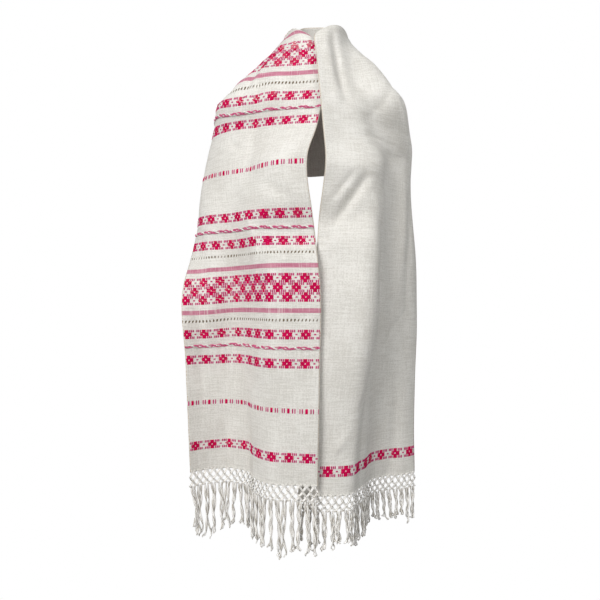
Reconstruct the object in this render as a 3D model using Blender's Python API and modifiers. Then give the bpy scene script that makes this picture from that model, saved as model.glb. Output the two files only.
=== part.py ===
"""A hand-woven rebozo shawl in the shape it takes when worn.

One long cloth hangs down the front from a hem, passes over a shoulder, round the
back of the neck and over the other shoulder, and hangs down the front again. The
two fronts cross at the neck. Each end has a knotted net with loose strands.
Metres, +Z up. The origin lies between the shoulders, at the base of the neck.
"""
from collections import namedtuple
from math import pi, radians, sin
from random import Random

import bpy
import numpy as np

# Sizes of the flat cloth
CLOTH_WIDTH = 0.315
CLOTH_LENGTH = 2.18
CLOTH_WALL = 0.002
SEAM_GAP = 0.0006

# Where the cloth parts into its three stretches, measured from the banded hem
BANDED_FRONT_END = 0.725
PLAIN_FRONT_END = 1.435

# Steps of the lofted walls
ACROSS_STEPS = 20
FRONT_STEPS = 20
BACK_STEPS = 38
SEAM_STEP = 0.002
LINE_SAMPLES = 240

# Grid on which the cloth settles round the neck, and the reach of that settling
GRID_ROWS = 436
GRID_COLUMNS = 63
SETTLING_PASSES = 16
NECK_START = 0.86
NECK_END = 1.295
NECK_REACH = 0.16
NECK_BLEND = 0.035

# Sizes of the knotted net and its strands
NET_COLUMNS = 22
NET_LEVELS = (0.0105, 0.0195, 0.0285)
STRIP_DEPTH = 0.0032
KNOT_REACH = 0.0021
FRINGE_WALL = 0.0022
STRAND_LENGTH = 0.096
STRAND_WIDTH = 0.0034
STRAND_STEPS = 4

# A level weft line of a hanging front: its distance from the hem, its height, the place
# of the inner selvedge, and the turns of the line seen from above, in degrees. A lean
# above 0 runs towards +Y, the back.
FrontSection = namedtuple(
    "FrontSection",
    "along height edge_x edge_y flap_lean fold_at fold_lean fold_width side_lean")

BANDED_FRONT = (
    FrontSection(0.000, -0.8250, 0.0050, -0.110, 2, 0.150, 69, 0.058, -38),
    FrontSection(0.215, -0.6100, 0.0085, -0.111, 1, 0.150, 63, 0.058, -30),
    FrontSection(0.376, -0.4480, 0.0095, -0.114, 0, 0.148, 60, 0.055, 0),
    FrontSection(0.455, -0.3700, 0.0020, -0.117, 2, 0.146, 58, 0.052, 55),
    FrontSection(0.519, -0.3055, -0.0065, -0.118, 5, 0.144, 46, 0.052, 90),
    FrontSection(0.612, -0.2126, -0.0150, -0.118, 9, 0.122, 32, 0.065, 108),
    FrontSection(0.703, -0.1250, 0.0070, -0.100, 12, 0.105, 14, 0.060, 112),
)

PLAIN_FRONT = (
    FrontSection(0.000, -0.8480, -0.0330, -0.098, 0, 0.162, 73, 0.058, 36),
    FrontSection(0.215, -0.6330, -0.0180, -0.099, 1, 0.160, 72, 0.060, 50),
    FrontSection(0.400, -0.4480, -0.0020, -0.104, 2, 0.164, 72, 0.056, 72),
    FrontSection(0.543, -0.3055, 0.0090, -0.112, 3, 0.160, 72, 0.056, 94),
    FrontSection(0.636, -0.2126, 0.0175, -0.118, 6, 0.150, 66, 0.060, 110),
    FrontSection(0.727, -0.1250, 0.0130, -0.109, 13, 0.112, 31, 0.065, 124),
)

# A weft line over a shoulder or the back: its distance from the banded hem, and the four
# places it passes, from the inner selvedge at the neck to the outer selvedge
YokeSection = namedtuple("YokeSection", "along inner upper middle outer")

YOKE = (
    YokeSection(0.770, (0.018, -0.088, -0.062), (-0.105, -0.068, -0.066),
                (-0.197, -0.012, -0.063), (-0.192, 0.055, -0.098)),
    YokeSection(0.803, (0.020, -0.081, -0.028), (-0.085, -0.060, -0.027),
                (-0.157, -0.014, -0.021), (-0.188, 0.072, -0.104)),
    YokeSection(0.847, (0.022, -0.071, 0.015), (-0.050, -0.055, 0.019),
                (-0.102, -0.012, 0.025), (-0.174, 0.088, -0.108)),
    YokeSection(0.872, (0.020, -0.062, 0.038), (-0.030, -0.052, 0.044),
                (-0.076, -0.010, 0.052), (-0.163, 0.097, -0.112)),
    YokeSection(0.888, (0.010, -0.044, 0.048), (-0.016, -0.055, 0.070),
                (-0.060, -0.007, 0.079), (-0.155, 0.104, -0.117)),
    YokeSection(0.910, (-0.004, -0.028, 0.054), (-0.036, -0.040, 0.086),
                (-0.069, 0.018, 0.074), (-0.141, 0.113, -0.128)),
    YokeSection(0.945, (-0.022, -0.006, 0.070), (-0.050, 0.000, 0.096),
                (-0.079, 0.060, 0.024), (-0.114, 0.126, -0.148)),
    YokeSection(0.980, (-0.036, 0.014, 0.095), (-0.055, 0.046, 0.066),
                (-0.072, 0.094, -0.018), (-0.078, 0.137, -0.166)),
    YokeSection(1.020, (-0.032, 0.040, 0.119), (-0.040, 0.075, 0.055),
                (-0.038, 0.112, -0.035), (-0.030, 0.143, -0.178)),
    YokeSection(1.075, (0.008, 0.056, 0.130), (0.010, 0.084, 0.062),
                (0.014, 0.118, -0.030), (0.024, 0.144, -0.178)),
    YokeSection(1.130, (0.046, 0.038, 0.119), (0.055, 0.075, 0.055),
                (0.063, 0.112, -0.035), (0.076, 0.139, -0.172)),
    YokeSection(1.170, (0.050, 0.008, 0.094), (0.070, 0.045, 0.062),
                (0.092, 0.094, -0.018), (0.112, 0.129, -0.160)),
    YokeSection(1.208, (0.032, -0.018, 0.072), (0.060, -0.008, 0.095),
                (0.092, 0.053, 0.027), (0.137, 0.117, -0.144)),
    YokeSection(1.243, (0.012, -0.044, 0.064), (0.044, -0.044, 0.084),
                (0.077, 0.014, 0.074), (0.153, 0.106, -0.127)),
    YokeSection(1.266, (-0.004, -0.066, 0.063), (0.030, -0.062, 0.072),
                (0.068, -0.010, 0.084), (0.162, 0.099, -0.117)),
    YokeSection(1.285, (-0.002, -0.072, 0.040), (0.042, -0.059, 0.048),
                (0.086, -0.010, 0.060), (0.168, 0.094, -0.112)),
    YokeSection(1.308, (0.001, -0.080, 0.016), (0.060, -0.060, 0.021),
                (0.112, -0.012, 0.032), (0.176, 0.086, -0.107)),
    YokeSection(1.352, (0.005, -0.091, -0.028), (0.085, -0.066, -0.026),
                (0.152, -0.014, -0.018), (0.187, 0.070, -0.103)),
    YokeSection(1.385, (0.008, -0.098, -0.062), (0.102, -0.074, -0.062),
                (0.183, -0.014, -0.058), (0.190, 0.055, -0.100)),
)


def smooth_between(positions, points, wanted):
    """Pass one smooth curve through points and read it at the wanted positions."""
    positions = np.asarray(positions, float)
    points = np.asarray(points, float)
    slopes = np.gradient(points, positions, axis=0)
    place = np.clip(np.searchsorted(positions, wanted, side="right") - 1, 0, len(positions) - 2)
    span = positions[place + 1] - positions[place]
    t = (wanted - positions[place]) / span
    t = t.reshape((-1,) + (1,) * (points.ndim - 1))
    span = span.reshape(t.shape)
    start, end = points[place], points[place + 1]
    return (start * (1 + 2 * t) * (1 - t) ** 2 + end * t ** 2 * (3 - 2 * t)
            + slopes[place] * span * t * (1 - t) ** 2
            - slopes[place + 1] * span * t ** 2 * (1 - t))


def even_spacing(points, count):
    """Read a dense line again at count + 1 places an even distance apart."""
    steps = np.linalg.norm(np.diff(points, axis=0), axis=1)
    travelled = np.concatenate(([0.0], np.cumsum(steps)))
    wanted = np.linspace(0.0, travelled[-1], count + 1)
    return np.column_stack([np.interp(wanted, travelled, points[:, axis]) for axis in range(3)])


def front_weft(section, side):
    """A level weft line, its turns added up from the inner selvedge to the outer one."""
    across = np.linspace(0.0, CLOTH_WIDTH, LINE_SAMPLES + 1)
    middle = (across[1:] + across[:-1]) / 2
    ramp = np.clip((middle - section.fold_at) / (CLOTH_WIDTH - section.fold_at), 0.0, 1.0)
    fold = np.exp(-((middle - section.fold_at) / section.fold_width) ** 2)
    lean = np.radians(section.flap_lean + section.fold_lean * fold
                      + (section.side_lean - section.flap_lean) * ramp ** 2)
    step = CLOTH_WIDTH / LINE_SAMPLES
    x = section.edge_x + side * np.concatenate(([0.0], np.cumsum(np.cos(lean)))) * step
    y = section.edge_y + np.concatenate(([0.0], np.cumsum(np.sin(lean)))) * step
    return np.column_stack([x, y, np.full_like(x, section.height)])


def yoke_weft(section):
    """A weft line through four places, from the neck to the outer selvedge."""
    places = np.array([section.inner, section.upper, section.middle, section.outer])
    reach = np.concatenate(([0.0], np.cumsum(np.linalg.norm(np.diff(places, axis=0), axis=1))))
    dense = smooth_between(reach, places, np.linspace(0.0, reach[-1], LINE_SAMPLES + 1))
    return even_spacing(dense, LINE_SAMPLES)


def all_wefts():
    """Every weft line that shapes the cloth, from the banded hem to the plain hem."""
    wefts = [(section.along, front_weft(section, -1)) for section in BANDED_FRONT]
    wefts += [(section.along, yoke_weft(section)) for section in YOKE]
    wefts += [(CLOTH_LENGTH - section.along, front_weft(section, 1))
              for section in reversed(PLAIN_FRONT)]
    return [along for along, _ in wefts], np.array([line for _, line in wefts])


def rising(values, start, width):
    """0 before start, 1 after start + width, with a soft rise between."""
    t = np.clip((values - start) / width, 0.0, 1.0)
    return t * t * (3 - 2 * t)


def settled_grid():
    """The lofted cloth with its folds round the neck eased as soft cloth settles."""
    positions, lines = all_wefts()
    along = np.linspace(0.0, CLOTH_LENGTH, GRID_ROWS + 1)
    across = np.linspace(0.0, CLOTH_WIDTH, GRID_COLUMNS + 1)
    grid = np.array([even_spacing(row, GRID_COLUMNS)
                     for row in smooth_between(positions, lines, along)])
    near_neck = rising(along, NECK_START, NECK_BLEND) * rising(-along, -NECK_END, NECK_BLEND)
    near_edge = rising(-across, -NECK_REACH, NECK_BLEND)
    share = (near_neck[:, None] * near_edge[None, :])[:, :, None]
    for _ in range(SETTLING_PASSES):
        eased = grid.copy()
        eased[1:-1, 1:-1] = (grid[:-2, 1:-1] + grid[2:, 1:-1]
                             + grid[1:-1, :-2] + grid[1:-1, 2:]) / 4
        eased[1:-1, 0] = (grid[:-2, 0] + grid[2:, 0]) / 2
        grid = grid + share * (eased - grid)
    return along, grid


def cloth_points(along_places, across_steps):
    """Points of the worn cloth, a row of across_steps + 1 for each distance from the hem."""
    positions, grid = settled_grid()
    rows = smooth_between(positions, grid, np.asarray(along_places, float))
    return np.array([even_spacing(row, across_steps) for row in rows])


def plain_material(name, colour, roughness):
    """A finish with one colour and one roughness."""
    material = bpy.data.materials.new(name)
    material.use_nodes = True
    shader = material.node_tree.nodes["Principled BSDF"]
    shader.inputs["Base Color"].default_value = (*colour, 1.0)
    shader.inputs["Roughness"].default_value = roughness
    shader.inputs["Metallic"].default_value = 0.0
    return material


def walled_object(name, points, faces, wall, material, holder, collection):
    """An open surface of faces given the thickness of a wall, half to each side."""
    mesh = bpy.data.meshes.new(name)
    mesh.from_pydata([tuple(point) for point in points], [], faces)
    mesh.validate()
    mesh.materials.append(material)
    part = bpy.data.objects.new(name, mesh)
    collection.objects.link(part)
    part.parent = holder
    thickness = part.modifiers.new("wall", "SOLIDIFY")
    thickness.thickness = wall
    thickness.offset = 0.0
    return part


def cloth_stretch(name, start, end, steps, material, holder, collection):
    """One stretch of the cloth as a wall, lofted through its weft lines."""
    inner_rows = np.linspace(start + SEAM_STEP, end - SEAM_STEP, steps - 1)
    rows = cloth_points(np.concatenate(([start], inner_rows, [end])), ACROSS_STEPS)
    width = ACROSS_STEPS + 1
    faces = [(row * width + column, row * width + column + 1,
              (row + 1) * width + column + 1, (row + 1) * width + column)
             for row in range(steps) for column in range(ACROSS_STEPS)]
    part = walled_object(name, rows.reshape(-1, 3), faces, CLOTH_WALL, material,
                         holder, collection)
    part.data.shade_smooth()
    return part


class NetDrawing:
    """Corner points and faces of a net, drawn flat along a hem and then hung below it."""

    def __init__(self):
        self.corners = {}
        self.points = []
        self.faces = []

    def corner(self, across, down, outward=0.0):
        """The number of one corner, the same for every face that meets there."""
        key = (round(across, 7), round(down, 7))
        if key not in self.corners:
            self.corners[key] = len(self.points)
            self.points.append((across, down, outward))
        return self.corners[key]

    def face(self, *corners):
        self.faces.append(corners)

    def hung_below(self, hem):
        """The points in space: along the hem line, down from it and out towards the front."""
        steps = np.linalg.norm(np.diff(hem, axis=0), axis=1)
        travelled = np.concatenate(([0.0], np.cumsum(steps)))
        drawn = np.array(self.points)
        x = np.interp(drawn[:, 0], travelled, hem[:, 0])
        y = np.interp(drawn[:, 0], travelled, hem[:, 1])
        before = drawn[:, 0] - np.clip(drawn[:, 0], 0.0, travelled[-1])
        ends = np.where((before < 0)[:, None], hem[1] - hem[0], hem[-1] - hem[-2])
        ends = ends / np.linalg.norm(ends, axis=1)[:, None]
        x = x + before * ends[:, 0]
        y = y + before * ends[:, 1] - drawn[:, 2]
        return np.column_stack([x, y, hem[0, 2] - drawn[:, 1]])


def knot_centres(level):
    """Distances along the hem of the knots in one level of the net."""
    pitch = CLOTH_WIDTH / NET_COLUMNS
    if level % 2 == 0:
        return [(column + 0.5) * pitch for column in range(NET_COLUMNS)]
    return [column * pitch for column in range(NET_COLUMNS + 1)]


def draw_strip(net):
    """The narrow strip at the hem that carries every root of the net."""
    stops = [0.0]
    for centre in knot_centres(0):
        stops += [centre - KNOT_REACH, centre, centre + KNOT_REACH]
    stops.append(CLOTH_WIDTH)
    for left, right in zip(stops, stops[1:]):
        net.face(net.corner(left, SEAM_GAP), net.corner(left, STRIP_DEPTH),
                 net.corner(right, STRIP_DEPTH), net.corner(right, SEAM_GAP))


def draw_knot(net, centre, depth):
    """One knot as a square stood on its corner."""
    net.face(net.corner(centre - KNOT_REACH, depth), net.corner(centre, depth + KNOT_REACH),
             net.corner(centre + KNOT_REACH, depth), net.corner(centre, depth - KNOT_REACH))


def draw_cords(net, level):
    """The cords that join one level of knots to the level above it."""
    depth = NET_LEVELS[level - 1]
    half_pitch = CLOTH_WIDTH / NET_COLUMNS / 2
    for centre in knot_centres(level):
        top = net.corner(centre, depth - KNOT_REACH)
        for side in (-1, 1):
            above = centre + side * half_pitch
            if not 0.0 < above < CLOTH_WIDTH and level % 2 == 1:
                continue
            flank = net.corner(centre + side * KNOT_REACH, depth)
            if level == 1:
                near = net.corner(above - side * KNOT_REACH, STRIP_DEPTH)
                far = net.corner(above, STRIP_DEPTH)
            else:
                upper = NET_LEVELS[level - 2]
                near = net.corner(above - side * KNOT_REACH, upper)
                far = net.corner(above, upper + KNOT_REACH)
            if side < 0:
                net.face(flank, top, near, far)
            else:
                net.face(top, flank, far, near)


def draw_strand(net, centre, side, chance):
    """One loose strand below a bottom knot, four sides round once it has its wall."""
    depth = NET_LEVELS[-1]
    length = STRAND_LENGTH + chance.uniform(-0.016, 0.012)
    lane = centre + side * CLOTH_WIDTH / NET_COLUMNS / 4
    drift = chance.uniform(-0.0008, 0.0008)
    swing = chance.uniform(0.0, 2 * pi)
    inner = net.corner(centre, depth + KNOT_REACH)
    outer = net.corner(centre + side * KNOT_REACH, depth)
    for step in range(1, STRAND_STEPS + 1):
        fall = step / STRAND_STEPS
        middle = lane + drift * sin(swing + 4.0 * fall)
        down = depth + KNOT_REACH + length * fall
        outward = 0.003 * sin(swing + 2.5 * fall) * fall
        half = STRAND_WIDTH / 2 * (1.0 - 0.35 * fall ** 3)
        next_inner = net.corner(middle - side * half, down, outward)
        next_outer = net.corner(middle + side * half, down, outward)
        if side < 0:
            net.face(outer, next_outer, next_inner, inner)
        else:
            net.face(inner, next_inner, next_outer, outer)
        inner, outer = next_inner, next_outer


def fringe(name, along, seed, material, holder, collection):
    """The knotted net and strands of one end of the cloth, in one connected piece."""
    hem = cloth_points([along], LINE_SAMPLES)[0]
    chance = Random(seed)
    net = NetDrawing()
    draw_strip(net)
    for level in range(1, len(NET_LEVELS) + 1):
        for centre in knot_centres(level):
            draw_knot(net, centre, NET_LEVELS[level - 1])
        draw_cords(net, level)
    for centre in knot_centres(len(NET_LEVELS)):
        for side in (-1, 1):
            draw_strand(net, centre, side, chance)
    return walled_object(name, net.hung_below(hem), net.faces, FRINGE_WALL, material,
                         holder, collection)


def build_shawl():
    """Remove what is in the scene and make the shawl."""
    for old in list(bpy.data.objects):
        bpy.data.objects.remove(old)
    collection = bpy.data.collections.new("rebozo_shawl")
    bpy.context.scene.collection.children.link(collection)
    holder = bpy.data.objects.new("neck_and_shoulders", None)
    collection.objects.link(holder)

    banded = plain_material("banded_cotton", (0.80, 0.62, 0.62), 0.9)
    plain = plain_material("plain_cotton", (0.80, 0.77, 0.70), 0.9)
    cord = plain_material("fringe_cotton", (0.84, 0.81, 0.74), 0.85)

    cloth_stretch("cloth_front_banded", 0.0, BANDED_FRONT_END - SEAM_GAP / 2, FRONT_STEPS,
                  banded, holder, collection)
    cloth_stretch("cloth_shoulders_back", BANDED_FRONT_END + SEAM_GAP / 2,
                  PLAIN_FRONT_END - SEAM_GAP / 2, BACK_STEPS, banded, holder, collection)
    cloth_stretch("cloth_front_plain", PLAIN_FRONT_END + SEAM_GAP / 2, CLOTH_LENGTH,
                  FRONT_STEPS, plain, holder, collection)
    fringe("fringe_banded_end", 0.0, 3, cord, holder, collection)
    fringe("fringe_plain_end", CLOTH_LENGTH, 8, cord, holder, collection)


build_shawl()
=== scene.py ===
"""The looks of the hand-woven rebozo shawl.

A fine cloth sheet with its creases, brocaded flower bands, rose stripes, twisted cords,
openwork rows, knotted nets and loose strands. Metres, +Z up.
"""
from collections import namedtuple
from functools import reduce
from itertools import product
from math import pi, radians
from random import Random

import bpy
import numpy as np
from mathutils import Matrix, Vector


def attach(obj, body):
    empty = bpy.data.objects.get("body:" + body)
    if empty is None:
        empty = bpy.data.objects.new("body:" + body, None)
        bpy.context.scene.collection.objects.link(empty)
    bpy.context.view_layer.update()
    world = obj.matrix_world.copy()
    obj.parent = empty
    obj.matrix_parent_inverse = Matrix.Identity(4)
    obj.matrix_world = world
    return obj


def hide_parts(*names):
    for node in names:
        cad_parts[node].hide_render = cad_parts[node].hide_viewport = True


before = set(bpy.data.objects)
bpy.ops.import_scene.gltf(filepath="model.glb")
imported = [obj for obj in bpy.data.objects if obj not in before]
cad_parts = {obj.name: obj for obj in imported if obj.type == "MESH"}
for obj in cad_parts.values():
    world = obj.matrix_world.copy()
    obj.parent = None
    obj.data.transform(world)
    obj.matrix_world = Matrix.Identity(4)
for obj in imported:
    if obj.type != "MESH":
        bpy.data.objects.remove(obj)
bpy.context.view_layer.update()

# Sizes of the flat cloth: across it from the inner selvedge, along it from the banded hem
CLOTH_WIDTH = 0.315
CLOTH_LENGTH = 2.18
CLOTH_THICKNESS = 0.001
LINE_SAMPLES = 240

# Creases: points on each line, and how near an edge or a hem one has to start or end for it
# to run out there at full depth
CREASE_POINTS = 15
EDGE_NEAR = 0.002
HEM_NEAR = 0.02

# Grid on which the cloth settles round the neck
GRID_ROWS = 436
GRID_COLUMNS = 63
SETTLING_PASSES = 16
NECK_START = 0.86
NECK_END = 1.295
NECK_REACH = 0.16
NECK_BLEND = 0.035

# Fine grid of the sheet, and how far to either side the direction across it is read
SHEET_ROWS = 560
SHEET_COLUMNS = 80
GRAIN_STEP = 0.002

# A level weft line of a hanging front: its distance from the hem, its height, the place
# of the inner selvedge, and the turns of the line seen from above, in degrees
FrontSection = namedtuple(
    "FrontSection",
    "along height edge_x edge_y flap_lean fold_at fold_lean fold_width side_lean")

BANDED_FRONT = [FrontSection(*row) for row in (
    (0.000, -0.8250, 0.0050, -0.110, 2, 0.150, 69, 0.058, -38),
    (0.215, -0.6100, 0.0085, -0.111, 1, 0.150, 63, 0.058, -30),
    (0.376, -0.4480, 0.0095, -0.114, 0, 0.148, 60, 0.055, 0),
    (0.455, -0.3700, 0.0020, -0.117, 2, 0.146, 58, 0.052, 55),
    (0.519, -0.3055, -0.0065, -0.118, 5, 0.144, 46, 0.052, 90),
    (0.612, -0.2126, -0.0150, -0.118, 9, 0.122, 32, 0.065, 108),
    (0.703, -0.1250, 0.0070, -0.100, 12, 0.105, 14, 0.060, 112),
)]

PLAIN_FRONT = [FrontSection(*row) for row in (
    (0.000, -0.8480, -0.0330, -0.098, 0, 0.162, 73, 0.058, 36),
    (0.215, -0.6330, -0.0180, -0.099, 1, 0.160, 72, 0.060, 50),
    (0.400, -0.4480, -0.0020, -0.104, 2, 0.164, 72, 0.056, 72),
    (0.543, -0.3055, 0.0090, -0.112, 3, 0.160, 72, 0.056, 94),
    (0.636, -0.2126, 0.0175, -0.118, 6, 0.150, 66, 0.060, 110),
    (0.727, -0.1250, 0.0130, -0.109, 13, 0.112, 31, 0.065, 124),
)]

# A weft line over a shoulder or the back, through four places from the neck outwards
YokeSection = namedtuple("YokeSection", "along inner upper middle outer")

YOKE = [YokeSection(*row) for row in (
    (0.770, (0.018, -0.088, -0.062), (-0.105, -0.068, -0.066),
     (-0.197, -0.012, -0.063), (-0.192, 0.055, -0.098)),
    (0.803, (0.020, -0.081, -0.028), (-0.085, -0.060, -0.027),
     (-0.157, -0.014, -0.021), (-0.188, 0.072, -0.104)),
    (0.847, (0.022, -0.071, 0.015), (-0.050, -0.055, 0.019),
     (-0.102, -0.012, 0.025), (-0.174, 0.088, -0.108)),
    (0.872, (0.020, -0.062, 0.038), (-0.030, -0.052, 0.044),
     (-0.076, -0.010, 0.052), (-0.163, 0.097, -0.112)),
    (0.888, (0.010, -0.044, 0.048), (-0.016, -0.055, 0.070),
     (-0.060, -0.007, 0.079), (-0.155, 0.104, -0.117)),
    (0.910, (-0.004, -0.028, 0.054), (-0.036, -0.040, 0.086),
     (-0.069, 0.018, 0.074), (-0.141, 0.113, -0.128)),
    (0.945, (-0.022, -0.006, 0.070), (-0.050, 0.000, 0.096),
     (-0.079, 0.060, 0.024), (-0.114, 0.126, -0.148)),
    (0.980, (-0.036, 0.014, 0.095), (-0.055, 0.046, 0.066),
     (-0.072, 0.094, -0.018), (-0.078, 0.137, -0.166)),
    (1.020, (-0.032, 0.040, 0.119), (-0.040, 0.075, 0.055),
     (-0.038, 0.112, -0.035), (-0.030, 0.143, -0.178)),
    (1.075, (0.008, 0.056, 0.130), (0.010, 0.084, 0.062),
     (0.014, 0.118, -0.030), (0.024, 0.144, -0.178)),
    (1.130, (0.046, 0.038, 0.119), (0.055, 0.075, 0.055),
     (0.063, 0.112, -0.035), (0.076, 0.139, -0.172)),
    (1.170, (0.050, 0.008, 0.094), (0.070, 0.045, 0.062),
     (0.092, 0.094, -0.018), (0.112, 0.129, -0.160)),
    (1.208, (0.032, -0.018, 0.072), (0.060, -0.008, 0.095),
     (0.092, 0.053, 0.027), (0.137, 0.117, -0.144)),
    (1.243, (0.012, -0.044, 0.064), (0.044, -0.044, 0.084),
     (0.077, 0.014, 0.074), (0.153, 0.106, -0.127)),
    (1.266, (-0.004, -0.066, 0.063), (0.030, -0.062, 0.072),
     (0.068, -0.010, 0.084), (0.162, 0.099, -0.117)),
    (1.285, (-0.002, -0.072, 0.040), (0.042, -0.059, 0.048),
     (0.086, -0.010, 0.060), (0.168, 0.094, -0.112)),
    (1.308, (0.001, -0.080, 0.016), (0.060, -0.060, 0.021),
     (0.112, -0.012, 0.032), (0.176, 0.086, -0.107)),
    (1.352, (0.005, -0.091, -0.028), (0.085, -0.066, -0.026),
     (0.152, -0.014, -0.018), (0.187, 0.070, -0.103)),
    (1.385, (0.008, -0.098, -0.062), (0.102, -0.074, -0.062),
     (0.183, -0.014, -0.058), (0.190, 0.055, -0.100)),
)]

# Creases: a line on the flat cloth through three places, each across and along, the height of its
# ridge (below 0 for a trough) and its half width
Crease = namedtuple("Crease", "start middle end height width")

CREASES = [Crease(*row) for row in (
    # The plain front, from the shoulder down
    ((0.036, 1.262), (0.044, 1.318), (0.060, 1.420), -0.0070, 0.0105),
    ((0.074, 1.262), (0.084, 1.330), (0.090, 1.425), -0.0120, 0.036),
    ((0.020, 1.275), (0.028, 1.330), (0.042, 1.420), 0.0034, 0.0110),
    ((0.075, 1.400), (0.088, 1.455), (0.090, 1.520), 0.0035, 0.024),
    ((0.060, 1.492), (0.130, 1.478), (0.230, 1.490), -0.0022, 0.005),
    ((0.088, 1.560), (0.060, 1.607), (0.030, 1.660), -0.0105, 0.0105),
    ((0.060, 1.556), (0.038, 1.588), (0.016, 1.620), -0.0038, 0.0065),
    ((0.000, 1.684), (0.010, 1.685), (0.024, 1.681), -0.0024, 0.0035),
    ((0.000, 1.697), (0.009, 1.699), (0.020, 1.696), -0.0020, 0.0035),
    ((0.104, 1.560), (0.154, 1.740), (0.184, 1.930), -0.0090, 0.021),
    ((0.172, 1.900), (0.136, 2.000), (0.134, 2.175), -0.0085, 0.020),
    ((0.070, 1.640), (0.106, 1.800), (0.094, 1.960), 0.0045, 0.024),
    ((0.284, 1.815), (0.240, 1.860), (0.206, 1.925), -0.0024, 0.0055),
    ((0.142, 1.962), (0.124, 1.994), (0.104, 2.026), -0.0026, 0.0060),
    ((0.094, 2.050), (0.078, 2.078), (0.060, 2.104), 0.0028, 0.0080),
    ((0.235, 1.500), (0.246, 1.640), (0.238, 1.800), 0.0045, 0.016),
    ((0.270, 1.560), (0.262, 1.700), (0.275, 1.880), -0.0040, 0.013),
    ((0.040, 1.760), (0.052, 1.850), (0.046, 1.960), 0.0030, 0.022),
    ((0.255, 1.960), (0.262, 2.060), (0.250, 2.172), -0.0045, 0.015),
    ((0.098, 1.600), (0.104, 1.800), (0.096, 2.100), 0.0120, 0.042),
    ((0.160, 1.395), (0.186, 1.440), (0.200, 1.500), 0.0110, 0.055),
    ((0.001, 1.546), (0.080, 1.541), (0.180, 1.515), 0.0075, 0.026),
    ((0.001, 1.650), (0.052, 1.652), (0.118, 1.626), -0.0160, 0.036),
    ((0.001, 1.715), (0.052, 1.720), (0.110, 1.700), -0.0090, 0.050),
    ((0.186, 1.395), (0.216, 1.440), (0.240, 1.505), 0.0030, 0.006),
    ((0.198, 1.392), (0.230, 1.436), (0.254, 1.500), -0.0050, 0.009),
    # The banded front
    ((0.146, 0.830), (0.136, 0.700), (0.128, 0.560), -0.0040, 0.013),
    ((0.124, 0.520), (0.118, 0.400), (0.122, 0.240), -0.0045, 0.014),
    ((0.170, 0.560), (0.176, 0.420), (0.168, 0.250), 0.0040, 0.016),
    ((0.080, 0.585), (0.062, 0.560), (0.030, 0.552), -0.0036, 0.014),
    ((0.214, 0.470), (0.220, 0.330), (0.212, 0.160), -0.0040, 0.018),
    ((0.262, 0.520), (0.256, 0.380), (0.266, 0.230), 0.0038, 0.016),
    ((0.290, 0.400), (0.282, 0.250), (0.288, 0.090), -0.0036, 0.012),
    ((0.150, 0.200), (0.158, 0.110), (0.150, 0.004), 0.0045, 0.018),
    ((0.052, 0.240), (0.060, 0.120), (0.048, 0.004), -0.0030, 0.022),
    ((0.228, 0.130), (0.236, 0.070), (0.230, 0.002), -0.0050, 0.014),
    ((0.190, 0.690), (0.176, 0.668), (0.148, 0.655), -0.0020, 0.0060),
    ((0.000, 0.630), (0.060, 0.622), (0.140, 0.628), 0.0060, 0.030),
    ((0.001, 0.484), (0.064, 0.488), (0.130, 0.480), -0.0210, 0.044),
    ((0.105, 0.858), (0.138, 0.812), (0.166, 0.748), 0.0032, 0.007),
    ((0.118, 0.850), (0.150, 0.806), (0.178, 0.744), -0.0034, 0.008),
    # The shoulders and the back, which the front view hides
    ((0.110, 0.860), (0.190, 0.900), (0.286, 0.885), -0.0050, 0.016),
    ((0.085, 0.930), (0.170, 0.950), (0.270, 0.970), -0.0040, 0.014),
    ((0.120, 0.990), (0.210, 1.010), (0.300, 1.035), -0.0050, 0.017),
    ((0.100, 1.060), (0.180, 1.070), (0.250, 1.060), 0.0035, 0.015),
    ((0.125, 1.120), (0.205, 1.110), (0.302, 1.095), -0.0048, 0.018),
    ((0.105, 1.180), (0.185, 1.170), (0.275, 1.160), -0.0036, 0.013),
    ((0.120, 1.262), (0.200, 1.240), (0.290, 1.250), -0.0045, 0.016),
)]

# Long waves that keep the sheet from lying flat: lengths across and along, phase, height
Wave = namedtuple("Wave", "across along phase height")

WAVES = [Wave(*row) for row in (
    (0.170, 0.610, 0.4, 0.0010),
    (0.112, -0.380, 2.1, 0.0007),
    (0.260, 0.233, 4.4, 0.0008),
    (0.074, 0.470, 1.3, 0.0004),
    (-0.143, 0.157, 3.2, 0.0004),
)]

# Bands woven across the cloth, by their distance from the banded hem
FLOWER_BANDS = (0.053, 0.232, 0.287, 0.467, 0.519, 0.703, 0.756, 0.941, 0.993, 2.133)
WIDE_BANDS = (0.376, 0.847)
DASH_BANDS = (0.142, 0.612)
STRIPES = (0.332, 0.418, 0.803, 0.891)
OPENWORK = (0.314, 0.444, 0.783, 0.917)
TWISTS = (0.261, 0.493, 0.729, 0.967)

# One flower, charted thread by thread. F is a crimson float and d a rose dot
FLOWER_CHART = (
    "......FFF.....",
    "......FFF.....",
    "....FFFFFFF...",
    "d...FFF.FFF...",
    "....FFFFFFF...",
    "......FFF.....",
    "......FFF.....",
)
# Rose ticks above and below the middle of a band: columns off the flower, either side
TICKS = (2.7, 4.1, 5.5)
TICK_WIDTH = 0.0025
TICK_ROW = 2.55

# Where the flowers stand in a row, and the size of a thread of the chart
FLOWERS = range(-2, 10)
FLOWER_CENTRE = 0.021
FLOWER_PITCH = 0.035
COLUMN_WIDTH = FLOWER_PITCH / len(FLOWER_CHART[0])
CHART_MIDDLE = 7.5
CHART_ROW = 0.00262
PLAIN_END_ROW = 0.00296

# The bars of a dash group: how far off its middle, and their width
DASH_GROUPS = range(-1, 10)
THIN_BARS = ((-0.0130, 0.0022), (-0.0084, 0.0025), (0.0080, 0.0025), (0.0124, 0.0021))
THICK_BARS = ((-0.0012, 0.0027), (0.0012, 0.0027))
THIN_HEIGHT = 0.0096
THICK_HEIGHT = 0.0100

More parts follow.
